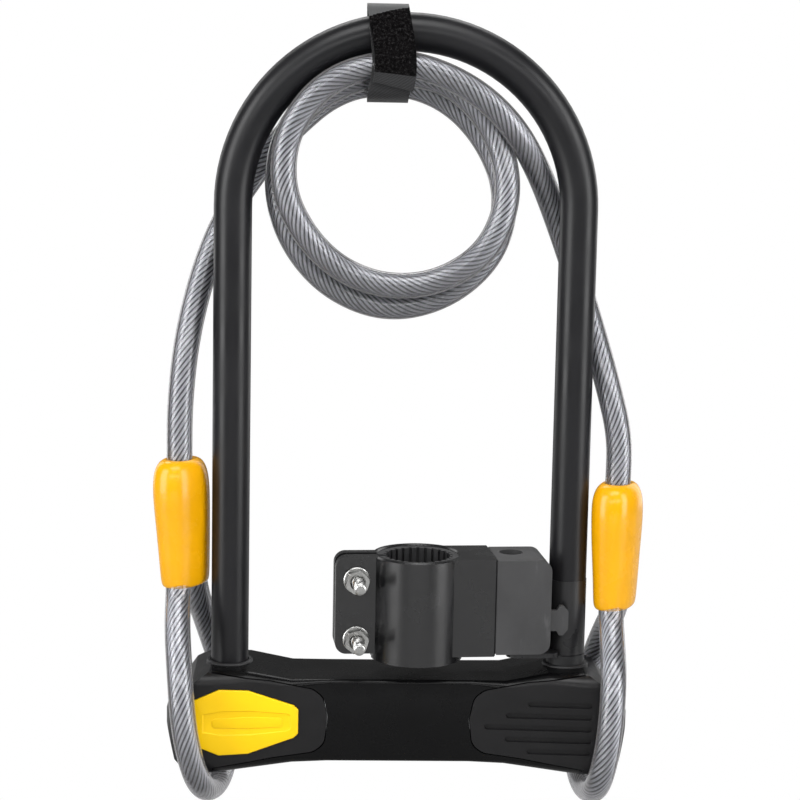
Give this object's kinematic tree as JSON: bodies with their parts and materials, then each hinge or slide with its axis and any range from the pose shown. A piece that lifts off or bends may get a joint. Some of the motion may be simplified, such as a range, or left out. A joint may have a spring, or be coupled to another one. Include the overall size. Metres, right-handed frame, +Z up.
{
  "type": "u lock",
  "caption": "U-shaped bicycle lock with a keyed sliding crossbar, a coiled looped steel cable, a hook-and-loop strap and a swivelling frame bracket.",
  "frame": {"origin": "lowest point of the inside of the shackle's bend, where the lock hangs over a peg", "axes": "+X across the U to the right, +Y from front to back, +Z up along the legs towards the bend"},
  "size_m": [0.1941, 0.0735, 0.3134],
  "materials": {
    "sleeve_vinyl": "satin vinyl coating on the bar",
    "hardened_steel": "ground steel",
    "strap_fabric": "black hook-and-loop webbing",
    "cable_sheath": "clear smoky sheath over the strands",
    "cable_strand": "twisted galvanised strands",
    "crossbar_black": "satin moulded shell",
    "cap_black": "fine textured moulding",
    "badge_yellow": "glossy moulded plate",
    "cast_zinc": "die casting",
    "seal_rubber": "matte rubber",
    "zinc_plate": "bright zinc plate",
    "ferrule_vinyl": "glossy dipped vinyl",
    "crimp_aluminium": "pressed sleeve",
    "plug_brass": "machined",
    "bracket_nylon": "matte moulded nylon"
  },
  "bodies": {
    "shackle": {"shackle_bar": "hardened_steel", "shackle_sleeve": "sleeve_vinyl", "strap": "strap_fabric", "cable_coil": "cable_sheath", "cable_left_run": "cable_sheath", "cable_right_run": "cable_sheath"},
    "crossbar": {"crossbar_cover": "crossbar_black", "left_end_cap": "cap_black", "right_end_cap": "cap_black", "badge_plate": "badge_yellow", "crossbar_tube": "hardened_steel", "lock_case": "cast_zinc", "case_pins": "hardened_steel", "left_bolt_guide": "cast_zinc", "right_bolt_guide": "cast_zinc", "left_end_plug": "hardened_steel", "right_end_plug": "hardened_steel", "left_leg_seal": "seal_rubber", "right_leg_seal": "seal_rubber", "cover_screw": "zinc_plate", "left_ferrule_cover": "ferrule_vinyl", "right_ferrule_cover": "ferrule_vinyl", "left_crimp": "crimp_aluminium", "right_crimp": "crimp_aluminium", "left_eye": "cable_sheath", "right_eye": "cable_sheath"},
    "plug": {"lock_plug": "plug_brass", "cam_disc": "hardened_steel"},
    "left_bolt": {"left_bolt": "hardened_steel", "left_drive_pin": "hardened_steel"},
    "right_bolt": {"right_bolt": "hardened_steel", "right_drive_pin": "hardened_steel"},
    "dust_cover": {"keyway_cover": "cap_black"},
    "collar": {"collar": "bracket_nylon"},
    "bracket": {"clamp_ring": "bracket_nylon", "clamp_liner": "seal_rubber", "clamp_bolts": "zinc_plate", "clamp_washers": "zinc_plate", "clamp_nuts": "zinc_plate", "receiver_block": "bracket_nylon", "block_screw": "zinc_plate"},
    "catch": {"catch": "bracket_nylon", "catch_spring": "hardened_steel"}
  },
  "joints": [
    {"name": "crossbar_slide", "type": "slide", "parent": "shackle", "child": "crossbar", "axis": [0, 0, -1], "range_m": [0, 0.036]},
    {"name": "key_turn", "type": "hinge", "parent": "crossbar", "child": "plug", "pos_m": [0, 0, -0.26], "axis": [0, 0, 1], "range_deg": [0, 90]},
    {"name": "left_bolt_throw", "type": "slide", "parent": "crossbar", "child": "left_bolt", "axis": [-1, 0, 0], "range_m": [0, 0.004]},
    {"name": "right_bolt_throw", "type": "slide", "parent": "crossbar", "child": "right_bolt", "axis": [1, 0, 0], "range_m": [0, 0.004]},
    {"name": "dust_cover_swing", "type": "hinge", "parent": "crossbar", "child": "dust_cover", "pos_m": [0.013, 0, -0.2755], "axis": [0, 0, -1], "range_deg": [0, 95]},
    {"name": "collar_swivel", "type": "hinge", "parent": "shackle", "child": "collar", "pos_m": [0.067, 0, -0.22], "axis": [0, 0, 1], "range_deg": [-65, 50]},
    {"name": "bracket_slide", "type": "slide", "parent": "collar", "child": "bracket", "axis": [0, 0, 1], "range_m": [0, 0.036]},
    {"name": "catch_press", "type": "slide", "parent": "bracket", "child": "catch", "axis": [-0.9971, -0.0767, 0], "range_m": [0, 0.0025], "stiffness_N_per_m": 400, "springref_m": -0.001}
  ],
  "couplings": [
    {"joint": "key_turn", "follows": "left_bolt_throw", "rad_per_m": 392.7},
    {"joint": "right_bolt_throw", "follows": "left_bolt_throw", "ratio": 1}
  ]
}
